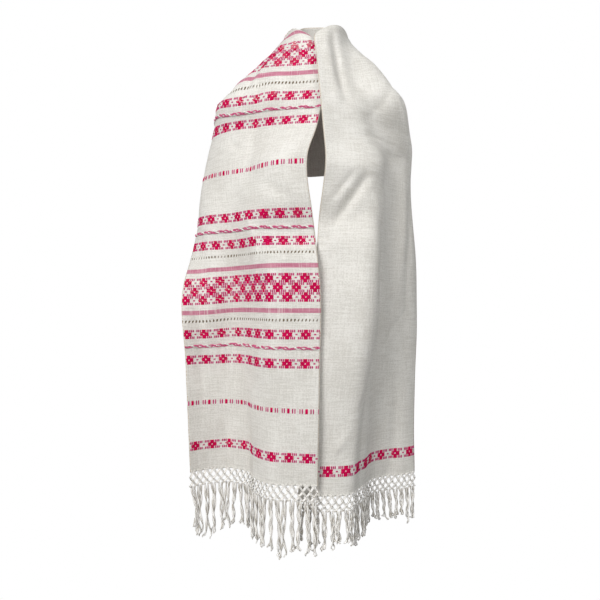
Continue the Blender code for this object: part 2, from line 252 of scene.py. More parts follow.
# Stripes, openwork and weave
STRIPE_HALF = 0.0045
SLIT_PITCH = 0.007
SLIT_HALF_HEIGHT = 0.0027
SLIT_EDGE = 0.006
PILLAR_EDGE = 0.004
PILLAR_WIDTH = 0.0021
PILLAR_HEIGHT = 0.0058
WEAVE_PITCH = 0.0012

# Where floats are cut off at the selvedges, and the shortest one that is kept
SELVEDGE_MARGIN = 0.0012
SHORTEST_FLOAT = 0.0010

# How high the floats of each yarn stand, and how far they outgrow their place in the chart
CRIMSON_HEIGHT = 0.0011
ROSE_HEIGHT = 0.0009
WHITE_HEIGHT = 0.0013
CRIMSON_GROWTH = 1.08
ROSE_GROWTH = 1.7
ROW_GROWTH = 1.10

# The twisted rows: the length of a turn and how far a strand sways
TWIST_TURN = 0.036
TWIST_SWAY = 0.0025

# How a band strays where the cloth is pulled: its climb for each metre across, how far it
# dips at the outer side and where the dip starts, and how far its flowers lie from their
# usual places across
BandPull = namedtuple("BandPull", "along climb dip start shift")
PULLS = [BandPull(*row) for row in (
    (0.053, 0.000, 0.0000, 0.160, 0.000), (0.142, 0.000, 0.0000, 0.160, 0.003),
    (0.232, 0.000, 0.0020, 0.170, 0.007), (0.287, 0.000, 0.0050, 0.175, 0.007),
    (0.314, 0.000, 0.0065, 0.180, 0.007), (0.376, 0.000, 0.0080, 0.180, 0.007),
    (0.418, 0.000, 0.0065, 0.180, 0.007), (0.467, 0.000, 0.0015, 0.160, 0.008),
    (0.519, 0.000, 0.0000, 0.140, 0.007), (0.612, 0.000, 0.0000, 0.120, 0.000),
    (0.703, 0.056, 0.0050, 0.120, 0.010), (0.729, 0.064, 0.0090, 0.100, 0.010),
    (0.756, 0.070, 0.0140, 0.100, 0.011), (0.785, 0.050, 0.0130, 0.100, 0.008),
    (0.803, 0.034, 0.0110, 0.100, 0.006), (0.847, 0.012, 0.0060, 0.100, 0.005),
    (0.900, 0.000, 0.0000, 0.100, 0.000), (2.133, 0.000, 0.0000, 0.100, -0.002),
)]
DIP_REACH = 0.120

# Sizes of the knotted net and its strands
NET_COLUMNS = 22
NET_TOP = -0.0025
NET_LEVELS = (0.0105, 0.0195, 0.0285)
NET_PITCH = CLOTH_WIDTH / NET_COLUMNS
NET_YARN = 0.00128
KNOT_YARN = 0.00135
KNOT_REACH = 0.0019
KNOT_HEIGHT = 0.0022
KNOT_TURNS = 1.6
ROUNDING = 1e-6
STRAND_YARN = 0.00150
YARN_SIDES = 6
HEM_STITCH = (0.0042, 0.0046)
HEM_STITCH_EDGE = 0.0016

# Where along a strand its two yarns part widest, in the loop at its end, how far its tip
# curls, and the least and most distance between bunches
LOOP_PLACE = 0.93
CURLS = (0.0, 0.0, 0.004, -0.004, 0.006)
BUNCH_GAPS = (0.011, 0.024)

# The loose strands: pairs of the distance across the hem from the inner selvedge and the
# length there
BANDED_STRANDS = (
    (0.000, 0.098), (0.025, 0.110), (0.050, 0.102),
    (0.070, 0.120), (0.100, 0.102), (0.125, 0.098),
    (0.150, 0.104), (0.195, 0.090), (0.230, 0.094),
    (0.265, 0.114), (0.290, 0.116), (0.315, 0.082),
)
PLAIN_STRANDS = (
    (0.000, 0.062), (0.030, 0.066), (0.053, 0.080),
    (0.072, 0.070), (0.095, 0.068), (0.120, 0.080),
    (0.170, 0.072), (0.205, 0.054), (0.233, 0.066),
    (0.279, 0.060), (0.302, 0.088), (0.315, 0.074),
)

# The studio: soft square lights, in watts, the floor, the surround and the camera
Light = namedtuple("Light", "name place target size power")
LIGHTS = [Light(*row) for row in (
    ("key", (-2.0, -2.9, 1.5), (0.0, 0.0, -0.4), 1.8, 120),
    ("upper", (0.72, -0.72, 0.38), (0.12, -0.10, -0.13), 0.5, 2.6),
    ("fill", (1.3, -2.6, 0.2), (0.0, 0.0, -0.45), 1.6, 14),
)]
FLOOR_REACH = 3.0
FLOOR_HEIGHT = -1.02
FLOOR_GREY = (0.45, 0.45, 0.45, 1.0)
SURROUND = (0.93, 0.96, 1.0, 1.0)
SURROUND_STRENGTH = 0.26
CAMERA_PLACE = (-0.029, -1.1, -0.472)
LENS = 31.4
SENSOR = 36.0


def smooth_between(positions, points, wanted):
    """Pass one smooth curve through points and read it at the wanted positions."""
    positions = np.asarray(positions, float)
    points = np.asarray(points, float)
    slopes = np.gradient(points, positions, axis=0)
    place = np.clip(np.searchsorted(positions, wanted, side="right") - 1, 0, len(positions) - 2)
    span = positions[place + 1] - positions[place]
    t = (wanted - positions[place]) / span
    t = t.reshape((-1,) + (1,) * (points.ndim - 1))
    span = span.reshape(t.shape)
    start, end = points[place], points[place + 1]
    return (start * (1 + 2 * t) * (1 - t) ** 2 + end * t ** 2 * (3 - 2 * t)
            + slopes[place] * span * t * (1 - t) ** 2
            - slopes[place + 1] * span * t ** 2 * (1 - t))


def even_spacing(points, count):
    """Read a dense line again at count + 1 places an even distance apart."""
    steps = np.linalg.norm(np.diff(points, axis=0), axis=1)
    travelled = np.concatenate(([0.0], np.cumsum(steps)))
    wanted = np.linspace(0.0, travelled[-1], count + 1)
    return np.column_stack([np.interp(wanted, travelled, points[:, axis]) for axis in range(3)])


def front_weft(section, side):
    """A level weft line, its turns added up from the inner selvedge to the outer one."""
    across = np.linspace(0.0, CLOTH_WIDTH, LINE_SAMPLES + 1)
    middle = (across[1:] + across[:-1]) / 2
    ramp = np.clip((middle - section.fold_at) / (CLOTH_WIDTH - section.fold_at), 0.0, 1.0)
    fold = np.exp(-((middle - section.fold_at) / section.fold_width) ** 2)
    lean = np.radians(section.flap_lean + section.fold_lean * fold
                      + (section.side_lean - section.flap_lean) * ramp ** 2)
    step = CLOTH_WIDTH / LINE_SAMPLES
    x = section.edge_x + side * np.concatenate(([0.0], np.cumsum(np.cos(lean)))) * step
    y = section.edge_y + np.concatenate(([0.0], np.cumsum(np.sin(lean)))) * step
    return np.column_stack([x, y, np.full_like(x, section.height)])


def yoke_weft(section):
    """A weft line through four places, from the neck to the outer selvedge."""
    places = np.array([section.inner, section.upper, section.middle, section.outer])
    reach = np.concatenate(([0.0], np.cumsum(np.linalg.norm(np.diff(places, axis=0), axis=1))))
    dense = smooth_between(reach, places, np.linspace(0.0, reach[-1], LINE_SAMPLES + 1))
    return even_spacing(dense, LINE_SAMPLES)


def all_wefts():
    """Every weft line that shapes the cloth, from the banded hem to the plain hem."""
    wefts = [(section.along, front_weft(section, -1)) for section in BANDED_FRONT]
    wefts += [(section.along, yoke_weft(section)) for section in YOKE]
    wefts += [(CLOTH_LENGTH - section.along, front_weft(section, 1))
              for section in reversed(PLAIN_FRONT)]
    return [along for along, _ in wefts], np.array([line for _, line in wefts])


def rising(values, start, width):
    """0 before start, 1 after start + width, with a soft rise between."""
    t = np.clip((values - start) / width, 0.0, 1.0)
    return t * t * (3 - 2 * t)


def settled_grid():
    """The lofted cloth with its folds round the neck eased as soft cloth settles."""
    positions, lines = all_wefts()
    along = np.linspace(0.0, CLOTH_LENGTH, GRID_ROWS + 1)
    across = np.linspace(0.0, CLOTH_WIDTH, GRID_COLUMNS + 1)
    grid = np.array([even_spacing(row, GRID_COLUMNS)
                     for row in smooth_between(positions, lines, along)])
    near_neck = rising(along, NECK_START, NECK_BLEND) * rising(-along, -NECK_END, NECK_BLEND)
    near_edge = rising(-across, -NECK_REACH, NECK_BLEND)
    share = (near_neck[:, None] * near_edge[None, :])[:, :, None]
    for _ in range(SETTLING_PASSES):
        eased = grid.copy()
        eased[1:-1, 1:-1] = (grid[:-2, 1:-1] + grid[2:, 1:-1]
                             + grid[1:-1, :-2] + grid[1:-1, 2:]) / 4
        eased[1:-1, 0] = (grid[:-2, 0] + grid[2:, 0]) / 2
        grid = grid + share * (eased - grid)
    return along, grid


def outward_normals(grid):
    """The direction out of the cloth at each point of a grid of rows."""
    down = np.gradient(grid, axis=0)
    over = np.gradient(grid, axis=1)
    normals = np.cross(down, over)
    return normals / np.maximum(np.linalg.norm(normals, axis=2), 1e-12)[:, :, None]


def crease_heights(across, along):
    """How far the creases and long waves lift each place of the flat cloth."""
    heights = np.zeros_like(across)
    for wave in WAVES:
        heights += wave.height * np.sin(2 * pi * (across / wave.across + along / wave.along)
                                        + wave.phase)
    t = np.linspace(0.0, 1.0, CREASE_POINTS)[:, None]
    for crease in CREASES:
        start, middle, end = (np.array(place) for place in crease[:3])
        control = 2 * middle - (start + end) / 2
        line = (1 - t) ** 2 * start + 2 * t * (1 - t) * control + t ** 2 * end
        nearest = np.full(across.shape, np.inf)
        share = np.zeros(across.shape)
        for first, second, start_t in zip(line, line[1:], t[:, 0]):
            run = second - first
            length = float(run @ run)
            reach = np.clip(((across - first[0]) * run[0] + (along - first[1]) * run[1])
                            / length, 0.0, 1.0)
            gap = np.hypot(across - first[0] - reach * run[0], along - first[1] - reach * run[1])
            closer = gap < nearest
            nearest = np.where(closer, gap, nearest)
            share = np.where(closer, start_t + reach / (len(line) - 1), share)
        fade = np.sin(pi * np.clip(share, 0.0, 1.0)) ** 0.7
        if start[0] < EDGE_NEAR:
            fade = np.where(share < 0.5, 1.0, fade)
        elif not HEM_NEAR < end[1] < CLOTH_LENGTH - HEM_NEAR:
            fade = np.where(share > 0.5, 1.0, fade)
        heights += crease.height * fade * np.exp(-(nearest / crease.width) ** 2)
    return heights


class Cloth:
    """The worn cloth as a fine grid of points with the directions out of it."""

    def __init__(self):
        positions, grid = settled_grid()
        self.along = np.linspace(0.0, CLOTH_LENGTH, SHEET_ROWS + 1)
        self.across = np.linspace(0.0, CLOTH_WIDTH, SHEET_COLUMNS + 1)
        rows = np.array([even_spacing(row, SHEET_COLUMNS)
                         for row in smooth_between(positions, grid, self.along)])
        across, along = np.meshgrid(self.across, self.along)
        lift = crease_heights(across, along)
        self.points = rows + outward_normals(rows) * lift[:, :, None]
        self.normals = outward_normals(self.points)

    def read(self, values, across, along):
        """Values of the grid at places between its points."""
        column = np.clip(np.asarray(across) / CLOTH_WIDTH, 0.0, 1.0) * SHEET_COLUMNS
        row = np.clip(np.asarray(along) / CLOTH_LENGTH, 0.0, 1.0) * SHEET_ROWS
        left = np.minimum(column.astype(int), SHEET_COLUMNS - 1)
        lower = np.minimum(row.astype(int), SHEET_ROWS - 1)
        s = (column - left)[:, None]
        t = (row - lower)[:, None]
        return ((1 - t) * ((1 - s) * values[lower, left] + s * values[lower, left + 1])
                + t * ((1 - s) * values[lower + 1, left] + s * values[lower + 1, left + 1]))

    def place(self, across, along, lift):
        """Points at a lift above the middle of the cloth, with normals beside them."""
        normals = self.read(self.normals, across, along)
        normals = normals / np.linalg.norm(normals, axis=1)[:, None]
        points = self.read(self.points, across, along)
        return points + normals * np.asarray(lift)[..., None], normals

    def over(self, across, along):
        """The direction that runs across the cloth at each place."""
        run = (self.read(self.points, across + GRAIN_STEP, along)
               - self.read(self.points, across - GRAIN_STEP, along))
        return run / np.linalg.norm(run, axis=1)[:, None]


class Graph:
    """A node tree being built, with one method that adds any node."""

    def __init__(self, tree):
        self.tree = tree

    def node(self, kind, settings=None, values=None, output=0):
        """Add a node, set it up, feed its sockets and hand back one of its outputs."""
        made = self.tree.nodes.new(kind)
        for key, value in (settings or {}).items():
            setattr(made, key, value)
        for key, value in (values or {}).items():
            self.feed(made.inputs[key], value)
        return Field(self, made.outputs[output])

    def feed(self, socket, value):
        if isinstance(value, Field):
            self.tree.links.new(value.socket, socket)
        else:
            socket.default_value = value

    def split(self, vector):
        """The first two parts of a vector."""
        parts = self.node("ShaderNodeSeparateXYZ", None, {0: vector}).socket.node.outputs
        return Field(self, parts[0]), Field(self, parts[1])


def operator(operation, reflected=False):
    """One of Python's operators, as a Math node."""
    def method(self, other):
        operands = (other, self) if reflected else (self, other)
        return self.maths(operation, *operands)
    return method


class Field:
    """A value that varies from place to place, with Python's operators for its maths."""

    def __init__(self, graph, socket):
        self.graph = graph
        self.socket = socket

    def maths(self, operation, *operands):
        return self.graph.node("ShaderNodeMath", {"operation": operation},
                               dict(enumerate(operands)))

    __add__ = operator("ADD")
    __radd__ = operator("ADD", reflected=True)
    __sub__ = operator("SUBTRACT")
    __rsub__ = operator("SUBTRACT", reflected=True)
    __mul__ = operator("MULTIPLY")
    __rmul__ = operator("MULTIPLY", reflected=True)
    __truediv__ = operator("DIVIDE")
    most = operator("MAXIMUM")

    def __abs__(self):
        return self.maths("ABSOLUTE", self)

    def sine(self):
        return self.maths("SINE", self)

    def squared(self):
        return self.maths("POWER", abs(self), 2.0)

    def wrapped(self, pitch):
        """The distance from the nearest whole number of pitches."""
        return abs(self.maths("WRAP", self, pitch / 2, -pitch / 2))

    def eased(self, start, end):
        """A soft step from 0 at start to 1 at end."""
        return self.graph.node("ShaderNodeMapRange", {"interpolation_type": "SMOOTHSTEP"},
                               {"Value": self, "From Min": start, "From Max": end})


class Finish(Graph):
    """A material built on one Principled shader."""

    def __init__(self, name, roughness, sheen=0.0):
        self.material = bpy.data.materials.new(name)
        self.material.use_nodes = True
        super().__init__(self.material.node_tree)
        self.surface = self.tree.nodes["Principled BSDF"]
        self.surface.inputs["Roughness"].default_value = roughness
        self.surface.inputs["Sheen Weight"].default_value = sheen
        self.surface.inputs["Sheen Roughness"].default_value = 0.5
        self.surface.inputs["Specular IOR Level"].default_value = 0.15

    def mix(self, share, first, second):
        """Blend two colours."""
        return self.node("ShaderNodeMix", {"data_type": "RGBA"},
                         {0: share, 6: first, 7: second}, output=2)

    def noise(self, place, scale, detail=2.0):
        return self.node("ShaderNodeTexNoise", None,
                         {"Vector": place, "Scale": scale, "Detail": detail})

    def vector(self, x, y, z=0.0):
        return self.node("ShaderNodeCombineXYZ", None, {0: x, 1: y, 2: z})

    def colour(self, value):
        self.feed(self.surface.inputs["Base Color"], value)

    def bump(self, height, distance, strength=1.0):
        relief = self.node("ShaderNodeBump", None,
                           {"Height": height, "Distance": distance, "Strength": strength})
        self.feed(self.surface.inputs["Normal"], relief)


def rgb(red, green, blue):
    """A colour of the screen, from 0 to 255, as the linear colour that shaders take."""
    def linear(value):
        value /= 255
        return value / 12.92 if value <= 0.04045 else ((value + 0.055) / 1.055) ** 2.4
    return (linear(red), linear(green), linear(blue), 1.0)


IVORY = rgb(241, 238, 231)
IVORY_SHADE = rgb(218, 214, 205)
TAN = rgb(196, 172, 138)
CRIMSON = rgb(212, 0, 84)
CRIMSON_DEEP = rgb(172, 0, 62)
ROSE = rgb(208, 132, 154)
ROSE_DEEP = rgb(190, 106, 132)
TICK_ROSE = rgb(202, 58, 122)
TICK_DEEP = rgb(168, 28, 92)
# Twisted cords and fringe yarn: the second colour of each pair is painted shade for the ply
# grooves, also spread over random darker fibres
TWIST_ROSE = rgb(216, 106, 144)
TWIST_GROOVE_SHADE = rgb(184, 66, 110)
TWIST_WHITE = rgb(246, 244, 239)
TWIST_SHADE = rgb(186, 180, 166)
CORD_WHITE = rgb(255, 252, 247)
CORD_SHADE = rgb(150, 139, 116)
# Painted shade: the dark brown of the openwork slits
SLIT_SHADE_BROWN = rgb(118, 104, 84)


def woven_cotton():
    """Hand-woven ivory cotton with its stripes, openwork slits painted as dark shade, and
    selvedges.
    """
    finish = Finish("woven_ivory_cotton", 0.95, sheen=0.08)
    place = finish.node("ShaderNodeUVMap", {"uv_map": "cloth"})
    across, along = finish.split(place)

    def patches(over, down, layer=0.0, detail=2.0):
        """Noise with so many patches a metre across the cloth and along it."""
        return finish.noise(finish.vector(across * over, along * down, layer), 1.0, detail)

    # Threads thicker and thinner than the rest, both ways
    warp_slub = patches(420.0, 26.0)
    weft_slub = patches(26.0, 420.0)
    cloud = patches(14.0, 9.0, detail=4.0)
    grain = patches(330.0, 330.0)
    slubs = warp_slub * 0.42 + weft_slub * 0.58
    mottle = slubs * 0.50 + grain * 0.30 + cloud * 0.20
    ground = finish.mix(mottle.eased(0.40, 0.60), IVORY_SHADE, IVORY)

    # Rose stripes whose edges wander by a thread
    wander = (warp_slub - 0.5) * 0.0011
    offs = [abs(along - woven_line(centre, across) + wander) for centre in STRIPES]
    stripe = reduce(Field.most, [1.0 - off.eased(STRIPE_HALF - 0.0005, STRIPE_HALF + 0.0004)
                                 for off in offs])
    rose = finish.mix(weft_slub.eased(0.35, 0.65), ROSE_DEEP, ROSE)
    rose = finish.mix(warp_slub.eased(0.52, 0.75) * 0.55, rose, IVORY)
    ground = finish.mix(stripe * 0.94, ground, rose)

    # Slits of the openwork rows, each a small slanted oval, some drawn nearly shut, painted dark
    # brown as the shade seen through them instead of being cut open
    half_width = patches(34.0, 6.0).eased(0.34, 0.58) * 0.0011 + 0.0008
    slant = patches(21.0, 3.0, layer=4.0) * 2.6 - 1.0
    ovals = []
    for centre in OPENWORK:
        row = along - woven_line(centre, across)
        slanted = (across + row * slant).wrapped(SLIT_PITCH) / half_width
        reach = slanted.squared() + (row / SLIT_HALF_HEIGHT).squared()
        ovals.append(1.0 - reach.eased(0.75, 1.25))
    slit = reduce(Field.most, ovals) * across.eased(0.004, 0.008)
    # Painted shade: the slit ovals take the dark brown
    ground = finish.mix(slit, ground, SLIT_SHADE_BROWN)

    # Tan thread along both selvedges
    inner = 1.0 - across.eased(0.0010, 0.0028)
    outer = across.eased(CLOTH_WIDTH - 0.0022, CLOTH_WIDTH - 0.0010)
    dotted = patches(40.0, 420.0).eased(0.40, 0.62)
    ground = finish.mix(inner.most(outer) * (0.15 + dotted * 0.45), ground, TAN)

    finish.colour(ground)
    weave = (across * (2 * pi / WEAVE_PITCH)).sine() * (along * (2 * pi / WEAVE_PITCH)).sine()
    relief = weave * 0.25 + slubs * 1.1 + grain * 0.5 - slit * 1.6
    finish.bump(relief, 0.0006)
    return finish.material


def dyed_yarn(name, colour, dark_mottle_and_shade):
    """Soft dyed yarn, with a darker tone in random patches and a fine fibre relief."""
    finish = Finish(name, 0.85)
    place = finish.node("ShaderNodeTexCoord", output=3)
    fibres = finish.noise(place, 900.0)
    tones = fibres * 0.6 + finish.noise(place, 120.0) * 0.4
    finish.colour(finish.mix(tones.eased(0.34, 0.62), dark_mottle_and_shade, colour))
    finish.bump(fibres, 0.0004, 0.7)
    return finish.material


def twisted_yarn(name, colour, dark_mottle_and_shade, ply):
    """Plied cotton, its ply grooves coloured darker as painted shade: the strand attribute gives
    the length along it and the turn round it.
    """
    finish = Finish(name, 0.92)
    strand = finish.node("ShaderNodeAttribute", {"attribute_name": "strand"}, output=1)
    length, turn = finish.split(strand)
    twist = (length * (2 * pi / ply) + turn * (4 * pi)).sine()
    place = finish.node("ShaderNodeTexCoord", output=3)
    fibres = finish.noise(place, 800.0)
    groove = (twist + fibres * 0.5).eased(-0.75, -0.30)
    # Painted shade: the darker colour fills the ply grooves, and random darker fibres besides
    finish.colour(finish.mix(groove * fibres.eased(0.24, 0.42), dark_mottle_and_shade, colour))
    finish.bump(groove * 0.8 + fibres * 0.4, 0.0007, 0.9)
    return finish.material


def new_object(name, data):
    made = bpy.data.objects.new(name, data)
    bpy.context.scene.collection.objects.link(made)
    return made


class Growth(Graph):
    """A Geometry Nodes tree with named inputs that ends in one finished mesh."""

    def __init__(self, name, inputs):
        super().__init__(bpy.data.node_groups.new(name, "GeometryNodeTree"))
        self.socket("Geometry", "Geometry", "OUTPUT")
        for title, kind in inputs.items():
            self.socket(title, kind, "INPUT")
        given = self.node("NodeGroupInput").socket.node.outputs
        self.given = {socket.name: Field(self, socket) for socket in given if socket.name}

    def socket(self, title, kind, way):
        self.tree.interface.new_socket(title, in_out=way, socket_type="NodeSocket" + kind)

    def named(self, title, kind="FLOAT_VECTOR"):
        """Read an attribute by its name."""
        return self.node("GeometryNodeInputNamedAttribute", {"data_type": kind}, {"Name": title})

    def stored(self, geometry, title, value, kind="FLOAT"):
        """Keep a value on the points under a name."""
        return self.node("GeometryNodeStoreNamedAttribute",
                         {"data_type": kind, "domain": "POINT"},
                         {"Geometry": geometry, "Name": title, "Value": value})

    def ended(self, geometry):
        """Make the geometry real and smooth, give it its finish and hand back the tree."""
        real = self.node("GeometryNodeRealizeInstances", None, {0: geometry})
        smooth = self.node("GeometryNodeSetShadeSmooth", None, {0: real})
        finished = self.node("GeometryNodeSetMaterial", None,
                             {"Geometry": smooth, "Material": self.given["Finish"]})
        last = self.tree.nodes.new("NodeGroupOutput")
        self.tree.links.new(finished.socket, last.inputs[0])
        return self.tree


def grown(name, seed_object, tree, values):
    """Run a node tree on an object and keep the result as a plain mesh."""
    modifier = seed_object.modifiers.new("grow", "NODES")
    modifier.node_group = tree
    for item in tree.interface.items_tree:
        if item.in_out == "INPUT" and item.name in values:
            modifier[item.identifier] = values[item.name]
    graph = bpy.context.evaluated_depsgraph_get()
    mesh = bpy.data.meshes.new_from_object(seed_object.evaluated_get(graph))
    seed_object.modifiers.clear()
    bpy.data.objects.remove(seed_object)
    mesh.name = name
    return new_object(name, mesh)


def stitch_tree():
    """A stitch on every point, its face along the normal and its length along the grain."""
    graph = Growth("stitches", {"Points": "Geometry", "Stitch": "Object", "Finish": "Material"})
    stood = graph.node("FunctionNodeAlignRotationToVector", {"axis": "Z"},
                       {"Vector": graph.named("outward")})
    turned = graph.node("FunctionNodeAlignRotationToVector", {"axis": "X", "pivot_axis": "Z"},
                        {"Rotation": stood, "Vector": graph.named("grain")})
    shape = graph.node("GeometryNodeObjectInfo", None, {"Object": graph.given["Stitch"]},
                       output=4)
    return graph.ended(graph.node(
        "GeometryNodeInstanceOnPoints", None,
        {"Points": graph.given["Points"], "Instance": shape, "Rotation": turned,
         "Scale": graph.named("size")}))


def yarn_tree():
    """A round yarn along every line, as thick as its points say."""
    graph = Growth("yarns", {"Lines": "Geometry", "Sides": "Int", "Finish": "Material"})
    thickness = graph.named("thickness", "FLOAT")
    curves = graph.node("GeometryNodeMeshToCurve", None, {0: graph.given["Lines"]})
    reach = graph.node("GeometryNodeSplineParameter", output=1)
    sized = graph.node("GeometryNodeSetCurveRadius", None,
                       {"Curve": graph.stored(curves, "reach", reach), "Radius": thickness})
    circle = graph.node("GeometryNodeCurvePrimitiveCircle", None,
                        {"Resolution": graph.given["Sides"], "Radius": 1.0})
    turn = graph.node("GeometryNodeSplineParameter", output=0)
    yarns = graph.node("GeometryNodeCurveToMesh", None,
                       {"Curve": sized, "Profile Curve": graph.stored(circle, "turn", turn),
                        "Fill Caps": True})
    if "Scale" in yarns.socket.node.inputs:
        graph.feed(yarns.socket.node.inputs["Scale"], thickness)
    both = graph.node("ShaderNodeCombineXYZ", None,
                      {0: graph.named("reach", "FLOAT"), 1: graph.named("turn", "FLOAT")})
    return graph.ended(graph.stored(yarns, "strand", both, "FLOAT_VECTOR"))


def seeded(name, points, edges, layers):
    """A mesh of loose points or lines that carries named layers of numbers or vectors."""
    mesh = bpy.data.meshes.new(name)
    mesh.from_pydata([tuple(point) for point in points], edges, [])
    for key, values in layers.items():
        values = np.asarray(values, np.float32)
        kind, field = ("FLOAT_VECTOR", "vector") if values.ndim == 2 else ("FLOAT", "value")
        mesh.attributes.new(key, kind, "POINT").data.foreach_set(field, values.ravel())
    return new_object(name, mesh)


def lines_object(name, lines):
    """A mesh of open lines, each a pair of its points and their thickness."""
    points = []
    edges = []
    thickness = []
    for line, sizes in lines:
        first = len(points)
        points.extend(line)
        thickness.extend(np.broadcast_to(sizes, len(line)))
        edges.extend((first + step, first + step + 1) for step in range(len(line) - 1))
    return seeded(name, points, edges, {"thickness": thickness})


def grid_faces(rows, columns):
    """The faces of a grid of points that are listed row by row."""
    width = columns + 1
    return [(first, first + width, first + width + 1, first + 1)
            for row in range(rows) for first in range(row * width, row * width + columns)]


def float_pad():
    """The shape of one float: a pad one unit long and wide, arched over both ways."""
    stations = ((-0.52, 0.0), (-0.40, 0.9), (0.40, 0.9), (0.52, 0.0))
    ribs = ((-0.5, 0.0), (-0.2, 0.95), (0.2, 0.95), (0.5, 0.0))
    points = [(x, y, high * arch - 0.08) for x, high in stations for y, arch in ribs]
    mesh = bpy.data.meshes.new("float_pad")
    mesh.from_pydata(points, [], grid_faces(len(stations) - 1, len(ribs) - 1))
    return new_object("float_pad", mesh)


def chart_floats(chart, mark):
    """Each run of a mark in a chart: its middle column, its row and its length."""
    floats = []
    for row, text in enumerate(chart):
        start = None
        for column, letter in enumerate(text + " "):
            if letter == mark and start is None:
                start = column
            elif letter != mark and start is not None:
                floats.append(((start + column) / 2, row, column - start))
                start = None
    return floats


def band_pull(band):
    """How the cloth pulls at one band, read between the rows of the table."""
    places = [row.along for row in PULLS]
    return BandPull(*(float(np.interp(band, places, column)) for column in zip(*PULLS)))


def band_line(band, across):
    """How far from the banded hem a band lies at each place across."""
    pull = band_pull(band)
    return band + pull.climb * across - pull.dip * rising(across, pull.start, DIP_REACH)


def woven_line(band, across):
    """The same line of a band, as shader maths."""
    pull = band_pull(band)
    return (band + across * pull.climb
            - across.eased(pull.start, pull.start + DIP_REACH) * pull.dip)


def trimmed(middle, band, off, length, width):
    """One float cut off at the selvedges: across, along, length and width, or nothing."""
    start = max(middle - length / 2, SELVEDGE_MARGIN)
    end = min(middle + length / 2, CLOTH_WIDTH - SELVEDGE_MARGIN)
    across = (start + end) / 2
    if end - start < SHORTEST_FLOAT:
        return []
    return [(across, float(band_line(band, across)) + off, end - start, width)]


def chart_row(band):
    """The height of one row of the chart, which is beaten less tight near the plain hem."""
    return PLAIN_END_ROW if band > CLOTH_LENGTH / 2 else CHART_ROW


def flower_middles():
    """Every flower of every band: its distance from the banded hem and its place across."""
    rows = [(band, band_pull(band).shift) for band in FLOWER_BANDS]
    height = len(FLOWER_CHART) * CHART_ROW
    for band in WIDE_BANDS:
        shift = band_pull(band).shift
        rows += [(band - height, shift), (band, shift + FLOWER_PITCH / 2),
                 (band + height, shift)]
    return [(band, FLOWER_CENTRE + flower * FLOWER_PITCH + shift)
            for band, shift in rows for flower in FLOWERS]


def tick_places():
    """The upright rose ticks between the flowers, each two rows tall."""
    places = []
    for band, centre in flower_middles():
        for columns, side, level in product(TICKS, (-1, 1), (-1, 1)):
            places += trimmed(centre + side * columns * COLUMN_WIDTH, band,
                              level * TICK_ROW * chart_row(band), TICK_WIDTH,
                              chart_row(band) * 2.0)
    return places


def flower_places(mark, grown_by):
    """Where the floats of every flower band lie: across, along, length and width."""
    places = []
    for band, centre in flower_middles():
        for column, row, length in chart_floats(FLOWER_CHART, mark):
            middle = centre + (column - CHART_MIDDLE) * COLUMN_WIDTH
            off = (row - (len(FLOWER_CHART) - 1) / 2) * chart_row(band)
            places += trimmed(middle, band, off, length * COLUMN_WIDTH * grown_by,
                              chart_row(band) * ROW_GROWTH)
    return places


def stitches(name, cloth, places, height, side, pad, tree, material):
    """Floats on one face of the cloth, made by the stitch tree."""
    places = np.array(places)
    lift = side * CLOTH_THICKNESS / 2
    points, normals = cloth.place(places[:, 0], places[:, 1], np.full(len(places), lift))
    over = cloth.over(places[:, 0], places[:, 1])
    size = np.column_stack([places[:, 2], places[:, 3], np.full(len(places), height)])
    seeds = seeded(name + "_seeds", points, [],
                   {"outward": normals * side, "grain": over, "size": size})
    return grown(name, seeds, tree, {"Stitch": pad, "Finish": material})


def dash_places():
    """The dash bands: groups of two thin bars, a thick one and two thin ones."""
    thin = []
    thick = []
    for band in DASH_BANDS:
        for group in DASH_GROUPS:
            centre = FLOWER_CENTRE + group * FLOWER_PITCH + band_pull(band).shift
            for shift, width in THIN_BARS:
                thin += trimmed(centre + shift, band, 0.0, width, THIN_HEIGHT)
            for shift, width in THICK_BARS:
                thick += trimmed(centre + shift, band, 0.0, width, THICK_HEIGHT)
    return thin, thick


def pillar_places():
    """White thread pillars between the slits of the openwork rows."""
    places = []
    count = int((CLOTH_WIDTH - 2 * SLIT_EDGE) / SLIT_PITCH)
    for band in OPENWORK:
        for slit in range(count + 1):
            across = SLIT_EDGE + (slit + 0.5) * SLIT_PITCH
            if across < CLOTH_WIDTH - PILLAR_EDGE:
                places += trimmed(across, band, 0.0, PILLAR_WIDTH, PILLAR_HEIGHT)
    return places


def twist_lines(cloth, strand, side):
    """One of the strands that wrap round each other in the twist bands."""
    lines = []
    chance = Random(17 + strand)
    across = np.linspace(0.001, CLOTH_WIDTH - 0.001, LINE_SAMPLES)
    for band in TWISTS:
        wander = 0.5 * np.sin(2 * pi * across / 0.083 + chance.uniform(0.0, 2 * pi))
        phase = 2 * pi * across / TWIST_TURN + strand * 2 * pi / 3 + wander
        sway = TWIST_SWAY * np.sin(phase + 0.5 * np.sin(phase))
        lift = side * (CLOTH_THICKNESS / 2 + 0.0007 + 0.0006 * np.cos(phase))
        points, _ = cloth.place(across, band_line(band, across) + sway, lift)
        lines.append((points, 0.00120 + 0.00050 * np.sin(phase * 2 + 1.0)))
    return lines


def hung(cloth, along, across, down, outward):
    """Points below a hem: their places across it, down from it and out to the front."""
    row = 0 if along == 0.0 else -1
    x, y, z = (np.interp(across, cloth.across, part) for part in cloth.points[row].T)
    out_x, out_y = (np.interp(across, cloth.across, part) for part in cloth.normals[row].T[:2])
    return np.column_stack([x + out_x * outward, y + out_y * outward, z - down])


